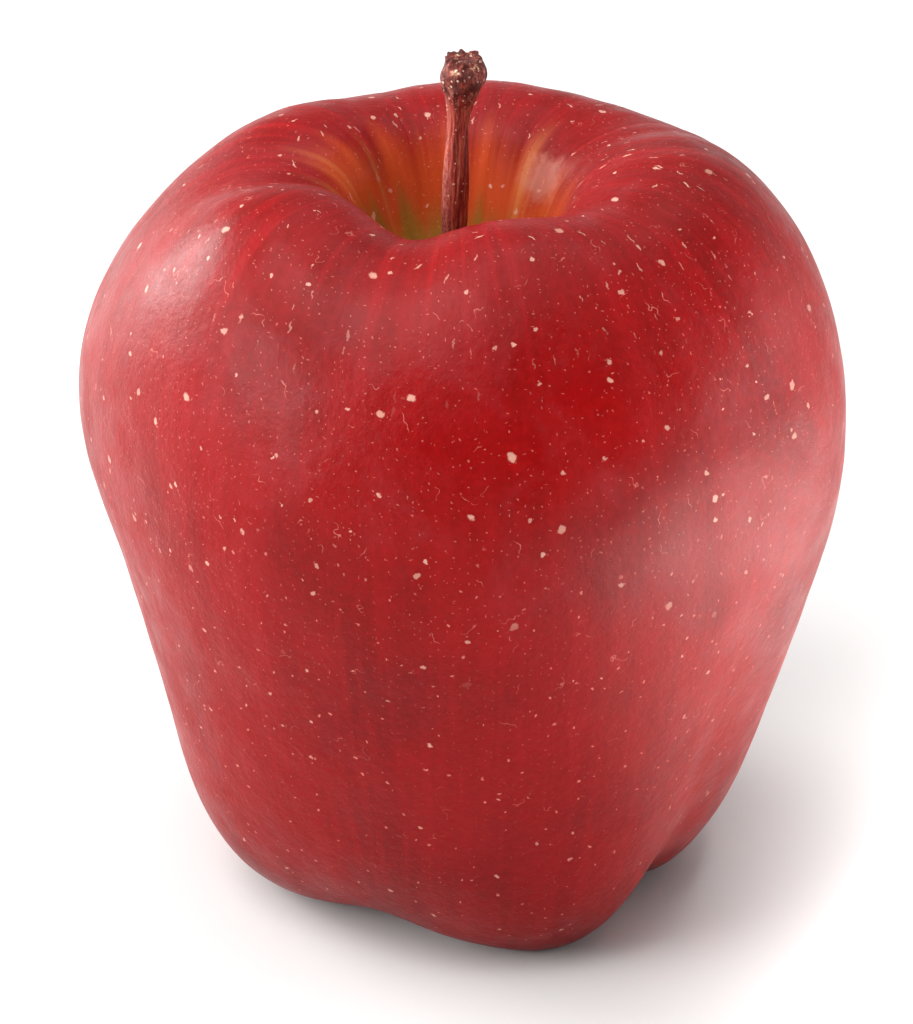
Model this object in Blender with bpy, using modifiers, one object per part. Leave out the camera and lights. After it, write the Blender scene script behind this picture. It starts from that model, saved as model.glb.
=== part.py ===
"""A red apple of the tall, five-ribbed dessert kind, with its stem and its dried calyx.

The frame is metres with +Z up. The apple stands on the small flats of its feet at z = 0, and the
origin is under the middle of the fruit. Azimuth 0 is +X, and it grows towards +Y.

The fruit is one solid. One mean side runs from the floor of the stem cavity, over the shoulder, down
the flank, round the foot and into the calyx basin. That side is turned about the axis, and five ribs
then lift and spread it, each by its own amounts, because no two ribs of an apple are alike.
"""

import math
from collections import namedtuple

import bmesh
import bpy
import numpy as np
from mathutils import Matrix, Vector

MM = 0.001
TURN = 2.0 * math.pi

# ---------------------------------------------------------------- driving dimensions, in millimetres

# The mean side of the fruit: the name of each station, its radius and its height.
SIDE = (
    ("cavity_floor", 0.0, 57.0),
    ("cavity_wall", 3.2, 59.2),
    ("cavity_throat", 7.6, 64.5),
    ("lip", 12.0, 72.9),
    ("crest", 20.1, 75.1),
    ("shoulder", 29.2, 69.0),
    ("belly", 36.4, 43.7),
    ("flank", 34.0, 32.4),
    ("waist", 29.7, 17.0),
    ("heel", 23.5, 3.3),
    ("foot", 19.4, 0.0),
    ("basin", 10.0, 5.0),
    ("pit", 0.0, 10.0),
)

# How each rib differs from the mean side. Azimuths are in degrees, and a rib may twist a little on its
# way down, from its crest azimuth to its foot azimuth. The valley after a rib drops by valley_drop.
Rib = namedtuple(
    "Rib",
    "crest_azimuth foot_azimuth crest_rise crest_reach belly_reach foot_reach foot_lift valley_drop",
)
RIBS = (
    Rib(78.0, 79.5, 0.3, -1.9, 0.4, 0.5, 0.0, 0.7),
    Rib(142.5, 146.5, 0.2, -1.6, 3.6, -1.8, 0.0, 1.9),
    Rib(217.0, 203.0, 1.2, -0.3, -2.8, 1.2, 0.5, 1.4),
    Rib(286.5, 290.0, 0.9, 0.0, 0.7, 3.3, 0.0, 0.3),
    Rib(355.0, 346.0, 1.0, 2.4, 0.7, -0.3, 0.0, 0.8),
)

# How the valleys between the ribs lie below them, lower down.
VALLEY_BELLY_DEPTH = 0.3
VALLEY_FOOT_DEPTH = 1.3
VALLEY_FOOT_LIFT = 2.9

# Width of a valley's rounded bottom, as a share of the way from valley to rib: small is a crease.
CREST_CREASE = 0.8
BELLY_CREASE = 0.5
FOOT_CREASE = 0.3

# The whole fruit leans a little, over the height of its crest.
LEAN_X = -1.3
LEAN_Y = -2.2
LEAN_HEIGHT = 76.0

# The feet are pressed flat by this much where they touch.
FOOT_FLAT_DEPTH = 0.3

FRUIT_SEGMENTS = 60
FRUIT_RINGS = 52

# The block below z = 0 that presses the feet flat.
GROUND_SIZE = 100.0

# The stem stands in a socket in the cavity floor. Its way: offset from its foot in x and y, height, and
# radius.
STEM_WAY = (
    (0.00, 0.00, 54.8, 1.35),
    (0.00, 0.00, 59.5, 1.20),
    (-0.20, 0.05, 66.0, 1.15),
    (0.00, 0.05, 73.6, 1.20),
    (0.40, 0.00, 80.5, 1.35),
    (0.60, 0.00, 82.1, 1.85),
    (0.70, 0.00, 83.7, 2.05),
    (0.75, 0.00, 85.0, 1.55),
)
SOCKET_DEPTH = 2.5
SOCKET_CLEARANCE = 4.0
GAP = 0.3

# The calyx: five dried sepals round a tuft of stamens, hanging in the calyx basin.
SEPAL_COUNT = 5
SEPAL_WIDTH = 3.2
SEPAL_THICKNESS = 0.45
SEPAL_FIRST_AZIMUTH = 22.0
# The way of a sepal from its root to its tip: distance from the axis, and height.
SEPAL_WAY = ((2.6, 8.9), (3.2, 7.8), (4.1, 6.7), (5.4, 6.0), (7.0, 5.6))
SEPAL_TILTS = (2.0, -2.0, 3.0, -1.0, 1.0)
TUFT_RADIUS = 1.0
TUFT_TIP_RADIUS = 0.45
TUFT_TOP = 9.2
TUFT_HEIGHT = 3.4


# ---------------------------------------------------------------- curves

def smooth(x):
    """Ramp from 0 to 1 that starts and ends level."""
    x = np.clip(x, 0.0, 1.0)
    return x * x * (3.0 - 2.0 * x)


def spline(knots, values, slopes):
    """Smooth curve through the values at the knots, with the given slopes at its two ends."""
    knots = np.asarray(knots, float)
    values = np.asarray(values, float)
    last = len(knots) - 1
    gap = np.diff(knots)
    rise = (np.diff(values, axis=0).T / gap).T
    system = np.eye(last + 1)
    target = np.zeros_like(values)
    target[0], target[last] = slopes
    for i in range(1, last):
        system[i, i - 1:i + 2] = gap[i], 2.0 * (gap[i - 1] + gap[i]), gap[i - 1]
        target[i] = 3.0 * (gap[i] * rise[i - 1] + gap[i - 1] * rise[i])
    slope = np.linalg.solve(system, target)

    def curve(t):
        t = np.asarray(t, float)
        i = np.clip(np.searchsorted(knots, t, side="right") - 1, 0, last - 1)
        column = t.shape + (1,) * (values.ndim - 1)
        width = gap[i].reshape(column)
        s = ((t - knots[i]) / gap[i]).reshape(column)
        near = values[i] * (1.0 + 2.0 * s) + slope[i] * width * s
        far = values[i + 1] * (3.0 - 2.0 * s) - slope[i + 1] * width * (1.0 - s)
        return near * (1.0 - s) ** 2 + far * s ** 2

    return curve


# ---------------------------------------------------------------- the fruit's surface

def mean_side():
    """The mean side as a curve by its length, its whole length, and each station's place on it."""
    points = np.array([station[1:] for station in SIDE])
    steps = np.hypot(*np.diff(points, axis=0).T)
    places = np.concatenate([[0.0], np.cumsum(steps)])
    curve = spline(places, points, ((1.0, 0.0), (-1.0, 0.0)))
    by_name = {station[0]: place for station, place in zip(SIDE, places)}
    return curve, places[-1], by_name


def rib_phase(azimuth, field):
    """Number that is whole on each rib and halfway in each valley, and grows by 5 in a turn."""
    count = len(RIBS)
    ribs = np.radians([getattr(rib, field) for rib in RIBS])
    knots = np.concatenate([ribs - TURN, ribs, ribs + TURN])
    numbers = np.arange(-count, 2 * count)
    return spline(knots, numbers, (count / TURN, count / TURN))(azimuth)


def rib_value(phase, field):
    """A rib's own amount, passing smoothly from each rib to the next."""
    amounts = np.array([getattr(rib, field) for rib in RIBS])
    whole = np.floor(phase).astype(int)
    share = smooth(phase - whole)
    count = len(RIBS)
    return amounts[whole % count] * (1.0 - share) + amounts[(whole + 1) % count] * share


def ridge(phase, crease):
    """1 on a rib and 0 in a valley, whose bottom is as round as crease says."""
    swing = np.abs(np.cos(math.pi * phase))
    return (np.hypot(swing, crease) - crease) / (np.hypot(1.0, crease) - crease)


def fruit_point(share, azimuth):
    """Points of the fruit's surface in millimetres. Share runs along the side, from 0 to 1."""
    side, length, at = mean_side()
    place = share * length
    radius, height = side(place).T

    def around(start, middle, end):
        """1 at the middle station, falling smoothly to 0 at the start and end stations."""
        rising = (place - at[start]) / (at[middle] - at[start])
        falling = (at[end] - place) / (at[end] - at[middle])
        return smooth(np.minimum(rising, falling))

    by_crest = around("cavity_floor", "crest", "belly")
    by_belly = around("crest", "belly", "foot")
    by_foot = around("belly", "foot", "basin")

    twist = smooth((place - at["shoulder"]) / (at["waist"] - at["shoulder"]))
    crest_phase = rib_phase(azimuth, "crest_azimuth")
    foot_phase = rib_phase(azimuth, "foot_azimuth")
    phase = crest_phase * (1.0 - twist) + foot_phase * twist
    crest_ridge = ridge(phase, CREST_CREASE)
    belly_valley = 1.0 - ridge(phase, BELLY_CREASE)
    foot_ridge = ridge(phase, FOOT_CREASE)
    foot_valley = 1.0 - foot_ridge

    crest_drop = rib_value(phase - 0.5, "valley_drop") * (1.0 - crest_ridge)
    crest_rise = rib_value(phase, "crest_rise") * crest_ridge - crest_drop
    crest_reach = rib_value(phase, "crest_reach") * np.clip(radius / 20.0, 0.0, 1.0)
    belly_reach = rib_value(phase, "belly_reach") - VALLEY_BELLY_DEPTH * belly_valley
    foot_reach = rib_value(phase, "foot_reach") - VALLEY_FOOT_DEPTH * foot_valley
    foot_rise = rib_value(phase, "foot_lift") * foot_ridge + VALLEY_FOOT_LIFT * foot_valley

    radius = radius + by_crest * crest_reach + by_belly * belly_reach + by_foot * foot_reach
    height = height + by_crest * crest_rise + by_foot * foot_rise - FOOT_FLAT_DEPTH
    x = radius * np.cos(azimuth) + LEAN_X * height / LEAN_HEIGHT
    y = radius * np.sin(azimuth) + LEAN_Y * height / LEAN_HEIGHT
    return np.stack([x, y, height], axis=-1)


def fruit_centre():
    """Middle of the fruit's box in x and y, in millimetres, which the origin stands under."""
    share, azimuth = np.meshgrid(np.linspace(0.0, 1.0, 200), np.linspace(0.0, TURN, 360))
    points = fruit_point(share.ravel(), azimuth.ravel())
    return (points.min(axis=0)[:2] + points.max(axis=0)[:2]) / 2.0


def axis_point(height):
    """Where the fruit's leaning axis passes a height, in metres."""
    x, y = -fruit_centre()
    return Vector((x + LEAN_X * height / LEAN_HEIGHT, y + LEAN_Y * height / LEAN_HEIGHT, height)) * MM


# ---------------------------------------------------------------- scene helpers

def clear_scene():
    for old in list(bpy.data.objects):
        bpy.data.objects.remove(old, do_unlink=True)


def new_collection(name):
    collection = bpy.data.collections.new(name)
    bpy.context.scene.collection.children.link(collection)
    return collection


def material(name, colour, roughness):
    made = bpy.data.materials.new(name)
    made.use_nodes = True
    shader = made.node_tree.nodes["Principled BSDF"]
    shader.inputs["Base Color"].default_value = (*colour, 1.0)
    shader.inputs["Roughness"].default_value = roughness
    shader.inputs["Metallic"].default_value = 0.0
    return made


def add_object(name, data, collection, look=None):
    made = bpy.data.objects.new(name, data)
    collection.objects.link(made)
    if look is not None:
        data.materials.append(look)
    return made


def mesh_from(shape, name):
    mesh = bpy.data.meshes.new(name)
    shape.to_mesh(mesh)
    shape.free()
    mesh.shade_smooth()
    return mesh


def cutter(name, shape, collection):
    made = add_object(name, mesh_from(shape, name), collection)
    made.hide_render = True
    made.display_type = "WIRE"
    return made


def cut(target, tool):
    boolean = target.modifiers.new(tool.name, "BOOLEAN")
    boolean.operation = "DIFFERENCE"
    boolean.solver = "EXACT"
    boolean.object = tool


# ---------------------------------------------------------------- the pieces

def make_fruit(parts, cutters, skin):
    """A sphere whose poles go to the cavity floor and the pit, moved onto the fruit's surface."""
    shape = bmesh.new()
    bmesh.ops.create_uvsphere(shape, u_segments=FRUIT_SEGMENTS, v_segments=FRUIT_RINGS, radius=1.0)
    place = np.array([vertex.co for vertex in shape.verts])
    share = np.arccos(np.clip(place[:, 2], -1.0, 1.0)) / math.pi
    azimuth = np.arctan2(place[:, 1], place[:, 0])
    points = fruit_point(share, azimuth)
    points[:, :2] -= fruit_centre()
    for vertex, point in zip(shape.verts, points):
        vertex.co = Vector(point) * MM
    fruit = add_object("fruit", mesh_from(shape, "fruit"), parts, skin)

    ground = bmesh.new()
    size = GROUND_SIZE * MM
    bmesh.ops.create_cube(ground, size=size, matrix=Matrix.Translation((0.0, 0.0, -size / 2.0)))
    cut(fruit, cutter("ground", ground, cutters))

    socket_radius = STEM_WAY[0][3] + GAP
    bottom = STEM_WAY[0][2] - GAP
    top = bottom + SOCKET_DEPTH + SOCKET_CLEARANCE
    foot = axis_point(STEM_WAY[0][2])
    middle = Vector((foot.x, foot.y, (bottom + top) / 2.0 * MM))
    socket = bmesh.new()
    bmesh.ops.create_cone(
        socket,
        cap_ends=True,
        segments=24,
        radius1=socket_radius * MM,
        radius2=socket_radius * MM,
        depth=(top - bottom) * MM,
        matrix=Matrix.Translation(middle),
    )
    cut(fruit, cutter("stem_socket", socket, cutters))
    return fruit


def make_stem(parts, bark):
    """A round stalk that swells into the knob where it left the spur."""
    curve = bpy.data.curves.new("stem", "CURVE")
    curve.dimensions = "3D"
    curve.bevel_depth = MM
    curve.bevel_resolution = 3
    curve.resolution_u = 3
    curve.use_fill_caps = True
    way = curve.splines.new("BEZIER")
    way.bezier_points.add(len(STEM_WAY) - 1)
    foot = axis_point(STEM_WAY[0][2])
    for point, (x, y, height, radius) in zip(way.bezier_points, STEM_WAY):
        point.co = Vector((foot.x + x * MM, foot.y + y * MM, height * MM))
        point.radius = radius
        point.handle_left_type = "AUTO"
        point.handle_right_type = "AUTO"
    return add_object("stem", curve, parts, bark)


def sepal_mesh():
    """A small pointed leaf that follows its way in the XZ plane, from root to tip, cupped across."""
    across = 3
    along = len(SEPAL_WAY)
    way = np.array(SEPAL_WAY)
    shape = bmesh.new()
    bmesh.ops.create_grid(shape, x_segments=across, y_segments=along - 1, size=1.0)
    for vertex in shape.verts:
        share = (vertex.co.y + 1.0) / 2.0
        side = vertex.co.x
        station = share * (along - 1)
        radius = np.interp(station, range(along), way[:, 0])
        height = np.interp(station, range(along), way[:, 1])
        half_width = SEPAL_WIDTH / 2.0 * (1.0 - 0.85 * share ** 1.6)
        cup = 0.25 * side ** 2
        vertex.co = Vector((radius - cup, side * half_width, height - 0.3 * cup)) * MM
    bmesh.ops.recalc_face_normals(shape, faces=shape.faces)
    return mesh_from(shape, "sepal")


def make_sepals(parts, husk):
    mesh = sepal_mesh()
    mesh.materials.append(husk)
    root_height = SEPAL_WAY[0][1]
    middle = axis_point(root_height)
    for i in range(SEPAL_COUNT):
        sepal = add_object(f"sepal_{i + 1}", mesh, parts)
        azimuth = math.radians(SEPAL_FIRST_AZIMUTH) + i * TURN / SEPAL_COUNT
        sepal.location = (middle.x, middle.y, 0.0)
        sepal.rotation_euler = (0.0, 0.0, azimuth + math.radians(SEPAL_TILTS[i]))
        leaf = sepal.modifiers.new("thickness", "SOLIDIFY")
        leaf.thickness = SEPAL_THICKNESS * MM
        leaf.offset = 0.0
        soft = sepal.modifiers.new("soft", "SUBSURF")
        soft.levels = 1
        soft.render_levels = 1


def make_tuft(parts, husk):
    """The bundle of dried stamens and styles, as one tapered plug."""
    shape = bmesh.new()
    middle = axis_point(TUFT_TOP - TUFT_HEIGHT / 2.0)
    bmesh.ops.create_cone(
        shape,
        cap_ends=True,
        segments=16,
        radius1=TUFT_TIP_RADIUS * MM,
        radius2=TUFT_RADIUS * MM,
        depth=TUFT_HEIGHT * MM,
        matrix=Matrix.Translation(middle),
    )
    return add_object("stamen_tuft", mesh_from(shape, "stamen_tuft"), parts, husk)


def main():
    clear_scene()
    parts = new_collection("apple")
    cutters = new_collection("cutters")
    skin = material("apple_skin", (0.33, 0.012, 0.014), 0.33)
    bark = material("stem_bark", (0.17, 0.052, 0.03), 0.7)
    husk = material("calyx_husk", (0.1, 0.062, 0.035), 0.85)
    make_fruit(parts, cutters, skin)
    make_stem(parts, bark)
    make_sepals(parts, husk)
    make_tuft(parts, husk)


main()
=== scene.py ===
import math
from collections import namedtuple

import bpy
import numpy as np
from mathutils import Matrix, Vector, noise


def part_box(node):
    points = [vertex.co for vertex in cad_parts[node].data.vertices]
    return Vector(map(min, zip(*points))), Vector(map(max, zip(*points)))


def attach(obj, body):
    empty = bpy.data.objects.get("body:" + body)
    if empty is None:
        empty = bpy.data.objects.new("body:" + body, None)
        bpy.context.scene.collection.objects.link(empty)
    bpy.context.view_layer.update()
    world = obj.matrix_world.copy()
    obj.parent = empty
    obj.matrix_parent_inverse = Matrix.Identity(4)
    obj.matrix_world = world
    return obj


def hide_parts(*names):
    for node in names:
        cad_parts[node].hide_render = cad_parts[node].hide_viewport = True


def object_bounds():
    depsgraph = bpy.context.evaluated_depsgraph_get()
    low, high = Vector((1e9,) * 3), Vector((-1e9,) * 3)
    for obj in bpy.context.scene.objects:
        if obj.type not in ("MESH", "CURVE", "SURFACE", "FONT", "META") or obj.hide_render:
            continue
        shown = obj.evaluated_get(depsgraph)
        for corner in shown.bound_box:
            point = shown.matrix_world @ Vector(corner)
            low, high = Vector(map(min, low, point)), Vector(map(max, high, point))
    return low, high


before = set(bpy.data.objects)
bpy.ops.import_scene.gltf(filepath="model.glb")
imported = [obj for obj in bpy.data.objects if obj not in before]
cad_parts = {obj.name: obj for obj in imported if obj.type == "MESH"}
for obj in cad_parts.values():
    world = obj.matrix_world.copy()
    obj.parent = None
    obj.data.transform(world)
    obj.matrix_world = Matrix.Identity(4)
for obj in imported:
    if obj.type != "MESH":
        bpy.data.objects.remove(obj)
cad_low, cad_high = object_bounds()

# The looks of a red apple of the tall, five-ribbed dessert kind.
#
# Everything is in metres in the frame of the CAD model; lengths named in the shape tables and the
# patterns are millimetres. The fine skin follows the same rule as the CAD fruit: one mean side, from
# the floor of the stem cavity over the crest and down to the pit of the calyx basin, turned about the
# axis, with five unequal ribs. Azimuth 0 is +X, and it grows towards +Y.

MM = 0.001
TURN = 2.0 * math.pi

# ---------------------------------------------------------------- the fruit's dimensions

# The mean side of the fruit: the name of each station, its radius and its height.
SIDE = (
    ("cavity_floor", 0.0, 57.0),
    ("cavity_wall", 3.2, 59.2),
    ("cavity_throat", 7.6, 64.5),
    ("lip", 12.0, 72.9),
    ("crest", 20.1, 75.1),
    ("shoulder", 29.2, 69.0),
    ("belly", 36.4, 43.7),
    ("flank", 34.0, 32.4),
    ("waist", 29.7, 17.0),
    ("heel", 23.5, 3.3),
    ("foot", 19.4, 0.0),
    ("basin", 10.0, 5.0),
    ("pit", 0.0, 10.0),
)

# How each rib differs from the mean side. Azimuths are in degrees, and a rib may twist a little on its
# way down, from its crest azimuth to its foot azimuth. The valley after a rib drops by valley_drop.
Rib = namedtuple(
    "Rib",
    "crest_azimuth foot_azimuth crest_rise crest_reach belly_reach foot_reach foot_lift valley_drop",
)
RIBS = (
    Rib(78.0, 79.5, 0.3, -1.9, 0.4, 0.5, 0.0, 0.7),
    Rib(142.5, 146.5, 0.2, -1.6, 3.6, -1.8, 0.0, 1.9),
    Rib(217.0, 203.0, 1.2, -0.3, -2.8, 1.2, 0.5, 1.4),
    Rib(286.5, 290.0, 0.9, 0.0, 0.7, 3.3, 0.0, 0.3),
    Rib(355.0, 346.0, 1.0, 2.4, 0.7, -0.3, 0.0, 0.8),
)

# How the valleys between the ribs lie below them, lower down.
VALLEY_BELLY_DEPTH = 0.3
VALLEY_FOOT_DEPTH = 1.3
VALLEY_FOOT_LIFT = 2.9

# Width of a valley's rounded bottom, as a share of the way from valley to rib: small is a crease.
CREST_CREASE = 0.8
BELLY_CREASE = 0.5
FOOT_CREASE = 0.3

# The whole fruit leans a little, over the height of its crest.
LEAN_X = -1.3
LEAN_Y = -2.2
LEAN_HEIGHT = 76.0

# The feet are pressed flat by this much where they touch.
FOOT_FLAT_DEPTH = 0.3

SKIN_SEGMENTS = 360
SKIN_RINGS = 260

# Low swells of the skin: how high, and how long. The rays round the cavity lie on top of them.
BROAD_SWELL_HEIGHT = 0.20
BROAD_SWELL_LENGTH = 11.0
SMALL_SWELL_HEIGHT = 0.06
SMALL_SWELL_LENGTH = 4.0
RAY_HEIGHT = 0.10
RAY_WIDTH = 2.4

# The skin's colours.
DARK_RED = (0.145, 0.0007, 0.0005)
RED = (0.203, 0.0009, 0.0011)
BRIGHT_RED = (0.29, 0.0035, 0.0050)
ORANGE = (0.47, 0.060, 0.011)
STRAW = (0.47, 0.17, 0.04)
OLIVE = (0.24, 0.105, 0.012)
DARK_OLIVE = (0.09, 0.055, 0.008)
# Grey-pink of the waxy haze on the upper half: partly real wax, partly painted sheen.
BLOOM_AND_SHEEN = (0.34, 0.11, 0.13)
CREAM = (0.62, 0.33, 0.25)
PINK_CREAM = (0.62, 0.22, 0.17)
# Russet pink, partly painted sheen on the cavity's right wall.
RUSSET_SHEEN = (0.46, 0.19, 0.14)

# Shares of the side, from the cavity's floor to the pit, where a colour or a finish begins and is full.
CROWN_SIDE = (0.36, 0.20)
ORANGE_SIDE = (0.165, 0.106)
STRAW_SIDE = (0.185, 0.12)
OLIVE_SIDE = (0.108, 0.070)
DARK_OLIVE_SIDE = (0.072, 0.036)
BASIN_ORANGE_SIDE = (0.895, 0.94)
BASIN_OLIVE_SIDE = (0.93, 0.975)
MATT_SIDE = (0.19, 0.14)

# The small marks: how far apart, how long and wide, which share shows, their seed, and how thick a layer
# round the surface they are picked from.
LARGE_PORES = {"spacing": 4.4, "length": 0.95, "width": 0.70, "keep": 0.42, "seed": 0.0, "depth": 1.3}
MIDDLING_PORES = {"spacing": 3.4, "length": 0.55, "width": 0.42, "keep": 0.38, "seed": 31.0, "depth": 0.9}
SMALL_PORES = {"spacing": 2.2, "length": 0.36, "width": 0.28, "keep": 0.65, "seed": 67.0, "depth": 0.8}
DASHES = {"spacing": 2.4, "length": 1.1, "width": 0.20, "keep": 0.42, "seed": 11.0, "depth": 0.9}
FLECKS = {"spacing": 0.72, "length": 0.23, "width": 0.13, "keep": 0.5, "seed": 90.0, "depth": 0.3}
FIBRES = {"spacing": 3.4, "length": 1.9, "width": 0.11, "keep": 0.55, "seed": 47.0, "depth": 0.9}
BARK_SPECKS = {"spacing": 0.75, "length": 0.22, "width": 0.17, "keep": 0.26, "seed": 5.0, "depth": 0.35}
KNOB_SPECKS = {"spacing": 0.65, "length": 0.28, "width": 0.24, "keep": 0.36, "seed": 23.0, "depth": 0.35}

# The pale patch on the cavity's wall, partly russet and partly painted sheen: its middle, and its radius
# where it fades and is full.
RUSSET_SHEEN_PLACE = (8.2, 5.5, 70.0)
RUSSET_SHEEN_RADII = (4.6, 2.6)

# The skin's orange peel: the size of a bump, and its depth.
PEEL_SIZE = 1.1
PEEL_DEPTH = 0.095

# The stem's colours.
BARK_DARK = (0.13, 0.011, 0.009)
BARK_RED = (0.30, 0.033, 0.022)
BARK_PALE = (0.44, 0.125, 0.07)
BARK_SHADE = (0.07, 0.010, 0.008)
# A grey-pink painted highlight on the stem's left side.
BARK_HIGHLIGHT_GREY = (0.52, 0.26, 0.22)
BARK_SPECK = (0.80, 0.62, 0.48)
KNOB_DARK = (0.060, 0.012, 0.010)
KNOB_FLAKE = (0.52, 0.36, 0.22)

# The dry husk's colours.
HUSK_DARK = (0.045, 0.024, 0.012)
HUSK_BROWN = (0.19, 0.12, 0.055)
HUSK_WOOL = (0.42, 0.36, 0.26)

# The calyx: the way of a sepal from root to tip, as distance from the axis and height, and the rest.
SEPAL_WAY = ((2.6, 8.9), (3.2, 7.8), (4.1, 6.7), (5.4, 6.0), (7.0, 5.6))
SEPAL_WIDTH = 3.2
SEPAL_THICKNESS = 0.45
SEPAL_FIRST_AZIMUTH = 22.0
SEPAL_TILTS = (2.0, -2.0, 3.0, -1.0, 1.0)
SEPAL_SEGMENTS = 15
SEPAL_ROWS = 26
STAMEN_COUNT = 15
STAMEN_RADIUS = 0.13
STAMEN_TIP_SWELL = 0.09
STAMEN_SEGMENTS = 8
STAMEN_RINGS = 16
GOLDEN_TURN = 2.39996

# Round figures for the patterns: the fruit's radius at the belly, and its mean side's length.
BELLY_RADIUS = 37.0
SIDE_LENGTH = 134.0

# The stem's way: offset from its foot in x and y, height, and radius.
STEM_WAY = (
    (0.00, 0.00, 54.8, 1.35),
    (0.00, 0.00, 59.5, 1.20),
    (-0.20, 0.05, 66.0, 1.15),
    (0.00, 0.05, 73.6, 1.20),
    (0.40, 0.00, 80.5, 1.35),
    (0.60, 0.00, 82.1, 1.85),
    (0.70, 0.00, 83.7, 2.05),
    (0.75, 0.00, 85.0, 1.55),
)
STEM_SEGMENTS = 96
STEM_RINGS = 190

# Heights where the stem's knob and its flaky rim begin.
KNOB_FROM = 80.0
RIM_FROM = 83.9

# How high the bark's lengthwise ridges, its grain, the knob's lumps and the rim's flakes stand, and how
# ragged the rim is.
BARK_RIDGE_HEIGHT = 0.10
BARK_GRAIN_HEIGHT = 0.04
KNOB_LUMP_HEIGHT = 0.26
RIM_FLAKE_HEIGHT = 0.30
RIM_RAGGEDNESS = 0.35

# The stem's broken end: how its rings shrink towards the middle, and how far it dips.
BREAK_SHARES = (0.82, 0.6, 0.35)
BREAK_DIP = 0.25
BREAK_MIDDLE_DIP = 0.22


# ---------------------------------------------------------------- curves

def smooth(x):
    """Ramp from 0 to 1 that starts and ends level."""
    x = np.clip(x, 0.0, 1.0)
    return x * x * (3.0 - 2.0 * x)


def spline(knots, values, slopes):
    """Smooth curve through the values at the knots, with the given slopes at its two ends."""
    knots = np.asarray(knots, float)
    values = np.asarray(values, float)
    last = len(knots) - 1
    gap = np.diff(knots)
    rise = (np.diff(values, axis=0).T / gap).T
    system = np.eye(last + 1)
    target = np.zeros_like(values)
    target[0], target[last] = slopes
    for i in range(1, last):
        system[i, i - 1:i + 2] = gap[i], 2.0 * (gap[i - 1] + gap[i]), gap[i - 1]
        target[i] = 3.0 * (gap[i] * rise[i - 1] + gap[i - 1] * rise[i])
    slope = np.linalg.solve(system, target)

    def curve(t):
        t = np.asarray(t, float)
        i = np.clip(np.searchsorted(knots, t, side="right") - 1, 0, last - 1)
        column = t.shape + (1,) * (values.ndim - 1)
        width = gap[i].reshape(column)
        s = ((t - knots[i]) / gap[i]).reshape(column)
        near = values[i] * (1.0 + 2.0 * s) + slope[i] * width * s
        far = values[i + 1] * (3.0 - 2.0 * s) - slope[i + 1] * width * (1.0 - s)
        return near * (1.0 - s) ** 2 + far * s ** 2

    return curve


# ---------------------------------------------------------------- the fruit's surface

def mean_side():
    """The mean side as a curve by its length, its whole length, and each station's place on it."""
    points = np.array([station[1:] for station in SIDE])
    steps = np.hypot(*np.diff(points, axis=0).T)
    places = np.concatenate([[0.0], np.cumsum(steps)])
    curve = spline(places, points, ((1.0, 0.0), (-1.0, 0.0)))
    by_name = {station[0]: place for station, place in zip(SIDE, places)}
    return curve, places[-1], by_name


def rib_phase(azimuth, field):
    """Number that is whole on each rib and halfway in each valley, and grows by 5 in a turn."""
    count = len(RIBS)
    ribs = np.radians([getattr(rib, field) for rib in RIBS])
    knots = np.concatenate([ribs - TURN, ribs, ribs + TURN])
    numbers = np.arange(-count, 2 * count)
    return spline(knots, numbers, (count / TURN, count / TURN))(azimuth)


def rib_value(phase, field):
    """A rib's own amount, passing smoothly from each rib to the next."""
    amounts = np.array([getattr(rib, field) for rib in RIBS])
    whole = np.floor(phase).astype(int)
    share = smooth(phase - whole)
    count = len(RIBS)
    return amounts[whole % count] * (1.0 - share) + amounts[(whole + 1) % count] * share


def ridge(phase, crease):
    """1 on a rib and 0 in a valley, whose bottom is as round as crease says."""
    swing = np.abs(np.cos(math.pi * phase))
    return (np.hypot(swing, crease) - crease) / (np.hypot(1.0, crease) - crease)


def fruit_point(share, azimuth):
    """Points of the fruit's surface in millimetres. Share runs along the side, from 0 to 1."""
    side, length, at = mean_side()
    place = share * length
    radius, height = side(place).T

    def around(start, middle, end):
        """1 at the middle station, falling smoothly to 0 at the start and end stations."""
        rising = (place - at[start]) / (at[middle] - at[start])
        falling = (at[end] - place) / (at[end] - at[middle])
        return smooth(np.minimum(rising, falling))

    by_crest = around("cavity_floor", "crest", "belly")
    by_belly = around("crest", "belly", "foot")
    by_foot = around("belly", "foot", "basin")

    twist = smooth((place - at["shoulder"]) / (at["waist"] - at["shoulder"]))
    crest_phase = rib_phase(azimuth, "crest_azimuth")
    foot_phase = rib_phase(azimuth, "foot_azimuth")
    phase = crest_phase * (1.0 - twist) + foot_phase * twist
    crest_ridge = ridge(phase, CREST_CREASE)
    belly_valley = 1.0 - ridge(phase, BELLY_CREASE)
    foot_ridge = ridge(phase, FOOT_CREASE)
    foot_valley = 1.0 - foot_ridge

    crest_drop = rib_value(phase - 0.5, "valley_drop") * (1.0 - crest_ridge)
    crest_rise = rib_value(phase, "crest_rise") * crest_ridge - crest_drop
    crest_reach = rib_value(phase, "crest_reach") * np.clip(radius / 20.0, 0.0, 1.0)
    belly_reach = rib_value(phase, "belly_reach") - VALLEY_BELLY_DEPTH * belly_valley
    foot_reach = rib_value(phase, "foot_reach") - VALLEY_FOOT_DEPTH * foot_valley
    foot_rise = rib_value(phase, "foot_lift") * foot_ridge + VALLEY_FOOT_LIFT * foot_valley

    radius = radius + by_crest * crest_reach + by_belly * belly_reach + by_foot * foot_reach
    height = height + by_crest * crest_rise + by_foot * foot_rise - FOOT_FLAT_DEPTH
    x = radius * np.cos(azimuth) + LEAN_X * height / LEAN_HEIGHT
    y = radius * np.sin(azimuth) + LEAN_Y * height / LEAN_HEIGHT
    return np.stack([x, y, height], axis=-1)


# ---------------------------------------------------------------- mesh helpers

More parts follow.
